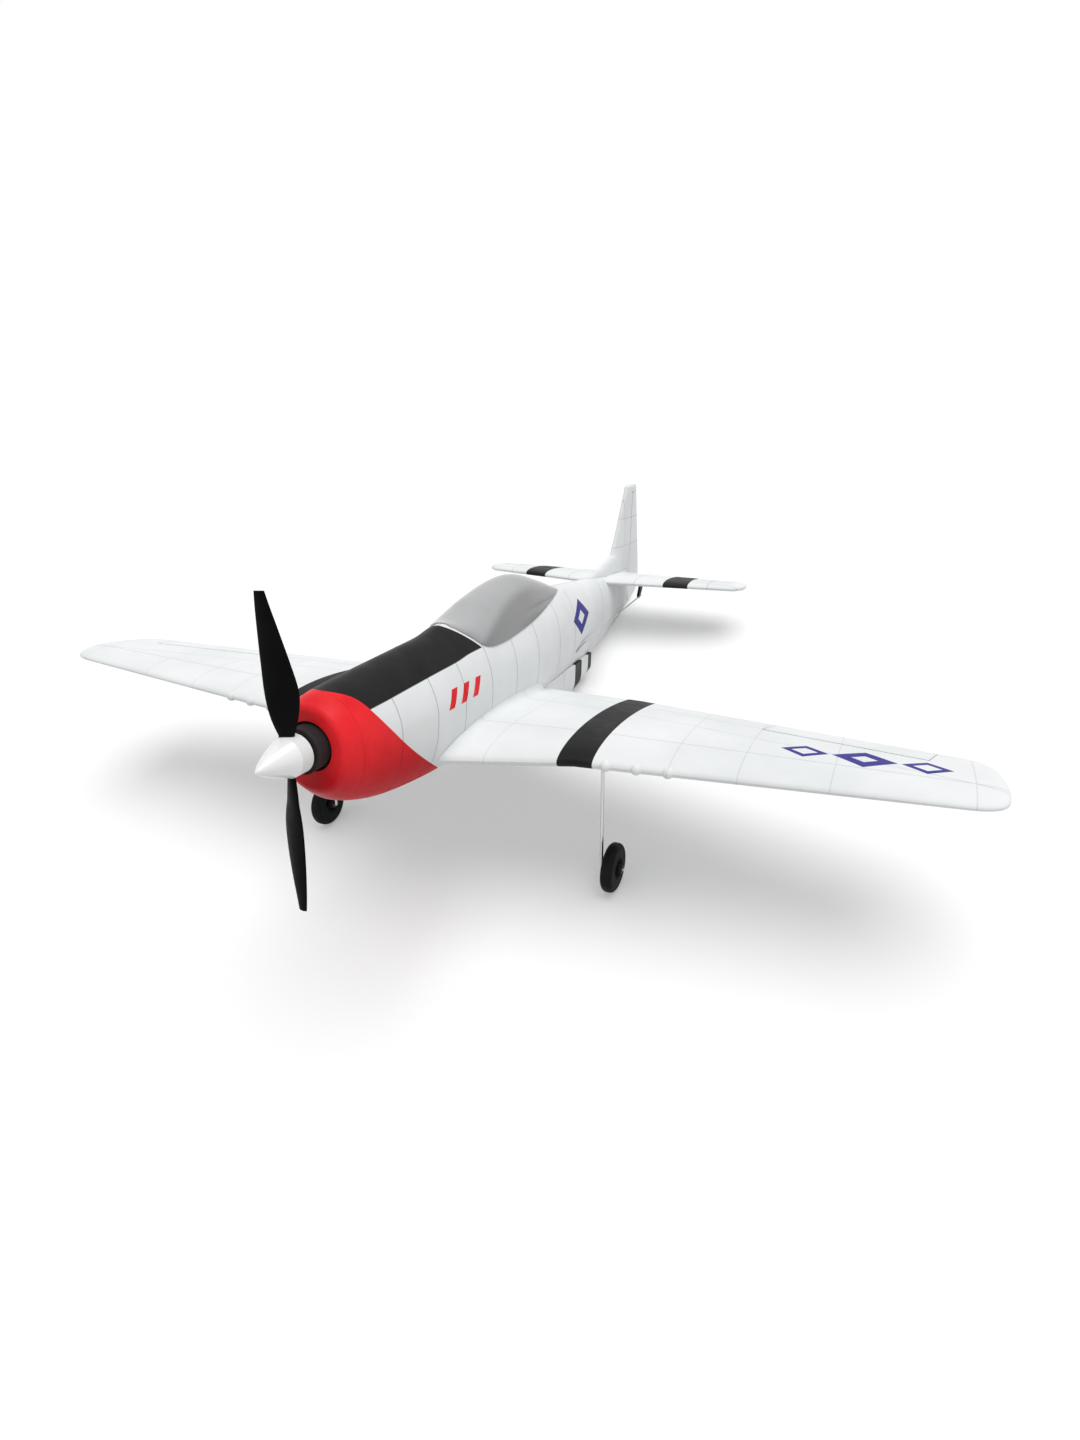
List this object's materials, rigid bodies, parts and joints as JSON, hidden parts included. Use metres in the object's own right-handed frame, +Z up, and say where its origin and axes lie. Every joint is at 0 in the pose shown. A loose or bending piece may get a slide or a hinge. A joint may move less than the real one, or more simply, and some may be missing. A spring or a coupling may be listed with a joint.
{
  "type": "rc foam airplane",
  "caption": "Small foam radio-control aeroplane with a low wing, bubble canopy, geared propeller, hinged ailerons, elevator and rudder on servo pushrods, and fixed wire legs with wheels.",
  "frame": {"origin": "centre of the bounding box on the ground, with the aeroplane standing on its wheels and tail", "axes": "+X to port along the span, +Y aft, +Z up from the ground"},
  "size_m": [0.4, 0.3494, 0.1596],
  "materials": {
    "white_foam": "satin",
    "red_foam": "satin",
    "smoky_canopy": "gloss",
    "black_nylon": "satin",
    "white_plastic": "gloss",
    "grey_plastic": "satin",
    "steel_wire": "drawn",
    "tyre_foam": "matt",
    "servo_plastic": "gloss",
    "brass": "turned",
    "motor_steel": "plated",
    "plywood": "raw",
    "battery_wrap": "satin",
    "circuit_board": "satin",
    "magnet": "plated",
    "carbon_rod": "satin"
  },
  "bodies": {
    "airframe": {"nose_ring": "red_foam", "fuselage_left": "white_foam", "fuselage_right": "white_foam", "belly_scoop": "white_foam", "canopy": "smoky_canopy", "left_wing": "white_foam", "right_wing": "white_foam", "wing_spar": "carbon_rod", "aileron_pins": "steel_wire", "aileron_servos": "servo_plastic", "stabilizer": "white_foam", "elevator_pins": "steel_wire", "elevator_servo": "servo_plastic", "fin": "white_foam", "rudder_pin": "steel_wire", "rudder_servo": "servo_plastic", "gearbox_frame": "grey_plastic", "shaft_bushes": "brass", "gearbox_screws": "steel_wire", "firewall": "plywood", "motor": "motor_steel", "equipment_tray": "plywood", "servo_tray": "plywood", "battery": "battery_wrap", "receiver_board": "circuit_board", "bay_magnet": "magnet", "gear_sockets": "white_plastic", "left_leg": "steel_wire", "right_leg": "steel_wire", "wheel_collars": "grey_plastic"},
    "prop_drive": {"spinner": "white_plastic", "propeller": "black_nylon", "prop_shaft": "steel_wire", "spur_gear": "white_plastic"},
    "motor_rotor": {"motor_pinion": "brass"},
    "left_wheel": {"left_tyre": "tyre_foam", "left_wheel_hub": "grey_plastic"},
    "right_wheel": {"right_tyre": "tyre_foam", "right_wheel_hub": "grey_plastic"},
    "left_aileron_surface": {"left_aileron": "white_foam", "left_aileron_horn": "white_plastic"},
    "right_aileron_surface": {"right_aileron": "white_foam", "right_aileron_horn": "white_plastic"},
    "left_aileron_crank": {"left_aileron_arm": "white_plastic"},
    "right_aileron_crank": {"right_aileron_arm": "white_plastic"},
    "left_aileron_link": {"left_aileron_pushrod": "steel_wire"},
    "right_aileron_link": {"right_aileron_pushrod": "steel_wire"},
    "elevator_surface": {"left_elevator": "white_foam", "right_elevator": "white_foam", "elevator_torque_rod": "steel_wire", "elevator_horn": "black_nylon"},
    "elevator_crank": {"elevator_arm": "white_plastic"},
    "elevator_link": {"elevator_pushrod": "steel_wire"},
    "rudder_surface": {"rudder": "white_foam", "rudder_horn": "black_nylon"},
    "rudder_crank": {"rudder_arm": "white_plastic"},
    "rudder_link": {"rudder_pushrod": "steel_wire"},
    "hatch": {"battery_hatch": "white_foam", "hatch_magnet": "magnet"}
  },
  "joints": [
    {"name": "propeller_spin", "type": "hinge", "parent": "airframe", "child": "prop_drive", "pos_m": [0, -0.14972, 0.10918], "axis": [0, 0.9443, -0.329], "continuous": true},
    {"name": "motor_spin", "type": "hinge", "parent": "airframe", "child": "motor_rotor", "pos_m": [0, -0.13157, 0.11264], "axis": [0, 0.9443, -0.329], "continuous": true},
    {"name": "left_wheel_spin", "type": "hinge", "parent": "airframe", "child": "left_wheel", "pos_m": [0.07, -0.08205, 0.0101], "axis": [1, 0, 0], "continuous": true},
    {"name": "right_wheel_spin", "type": "hinge", "parent": "airframe", "child": "right_wheel", "pos_m": [-0.07, -0.08205, 0.0101], "axis": [1, 0, 0], "continuous": true},
    {"name": "left_aileron_hinge", "type": "hinge", "parent": "airframe", "child": "left_aileron_surface", "pos_m": [0.148, -0.04668, 0.05936], "axis": [0.9748, -0.1941, 0.1096], "range_deg": [-22, 22]},
    {"name": "left_aileron_arm_turn", "type": "hinge", "parent": "airframe", "child": "left_aileron_crank", "pos_m": [0.12347, -0.06179, 0.06145], "axis": [0.9748, -0.1941, 0.1096], "range_deg": [-22, 22]},
    {"name": "left_aileron_rod_pivot", "type": "hinge", "parent": "left_aileron_crank", "child": "left_aileron_link", "pos_m": [0.12369, -0.0636, 0.05626], "axis": [0.9748, -0.1941, 0.1096], "range_deg": [-22, 22]},
    {"name": "right_aileron_hinge", "type": "hinge", "parent": "airframe", "child": "right_aileron_surface", "pos_m": [-0.148, -0.04668, 0.05936], "axis": [-0.9748, -0.1941, 0.1096], "range_deg": [-22, 22]},
    {"name": "right_aileron_arm_turn", "type": "hinge", "parent": "airframe", "child": "right_aileron_crank", "pos_m": [-0.12347, -0.06179, 0.06145], "axis": [-0.9748, -0.1941, 0.1096], "range_deg": [-22, 22]},
    {"name": "right_aileron_rod_pivot", "type": "hinge", "parent": "right_aileron_crank", "child": "right_aileron_link", "pos_m": [-0.12369, -0.0636, 0.05626], "axis": [-0.9748, -0.1941, 0.1096], "range_deg": [-22, 22]},
    {"name": "elevator_hinge", "type": "hinge", "parent": "airframe", "child": "elevator_surface", "pos_m": [0, 0.12382, 0.02808], "axis": [1, 0, 0], "range_deg": [-20, 20]},
    {"name": "elevator_arm_turn", "type": "hinge", "parent": "airframe", "child": "elevator_crank", "pos_m": [0.006, 0.01356, 0.04594], "axis": [1, 0, 0], "range_deg": [-20, 20]},
    {"name": "elevator_rod_pivot", "type": "hinge", "parent": "elevator_crank", "child": "elevator_link", "pos_m": [0.006, 0.01027, 0.0365], "axis": [1, 0, 0], "range_deg": [-20, 20]},
    {"name": "rudder_hinge", "type": "hinge", "parent": "airframe", "child": "rudder_surface", "pos_m": [0, 0.14495, 0.0097], "axis": [0, 0.329, 0.9443], "range_deg": [-22, 22]},
    {"name": "rudder_arm_turn", "type": "hinge", "parent": "airframe", "child": "rudder_crank", "pos_m": [0.0055, -0.0052, 0.06201], "axis": [0, 0.329, 0.9443], "range_deg": [-22, 22]},
    {"name": "rudder_rod_pivot", "type": "hinge", "parent": "rudder_crank", "child": "rudder_link", "pos_m": [-0.0045, -0.0052, 0.06201], "axis": [0, 0.329, 0.9443], "range_deg": [-22, 22]},
    {"name": "battery_hatch_slide", "type": "slide", "parent": "airframe", "child": "hatch", "axis": [0, -0.329, -0.9443], "range_m": [0, 0.03]}
  ],
  "couplings": [
    {"joint": "motor_spin", "follows": "propeller_spin", "ratio": -3.6},
    {"joint": "left_aileron_arm_turn", "follows": "left_aileron_hinge", "ratio": 1},
    {"joint": "left_aileron_rod_pivot", "follows": "left_aileron_hinge", "ratio": -1},
    {"joint": "right_aileron_arm_turn", "follows": "right_aileron_hinge", "ratio": 1},
    {"joint": "right_aileron_rod_pivot", "follows": "right_aileron_hinge", "ratio": -1},
    {"joint": "elevator_arm_turn", "follows": "elevator_hinge", "ratio": 1},
    {"joint": "elevator_rod_pivot", "follows": "elevator_hinge", "ratio": -1},
    {"joint": "rudder_arm_turn", "follows": "rudder_hinge", "ratio": 1},
    {"joint": "rudder_rod_pivot", "follows": "rudder_hinge", "ratio": -1}
  ]
}
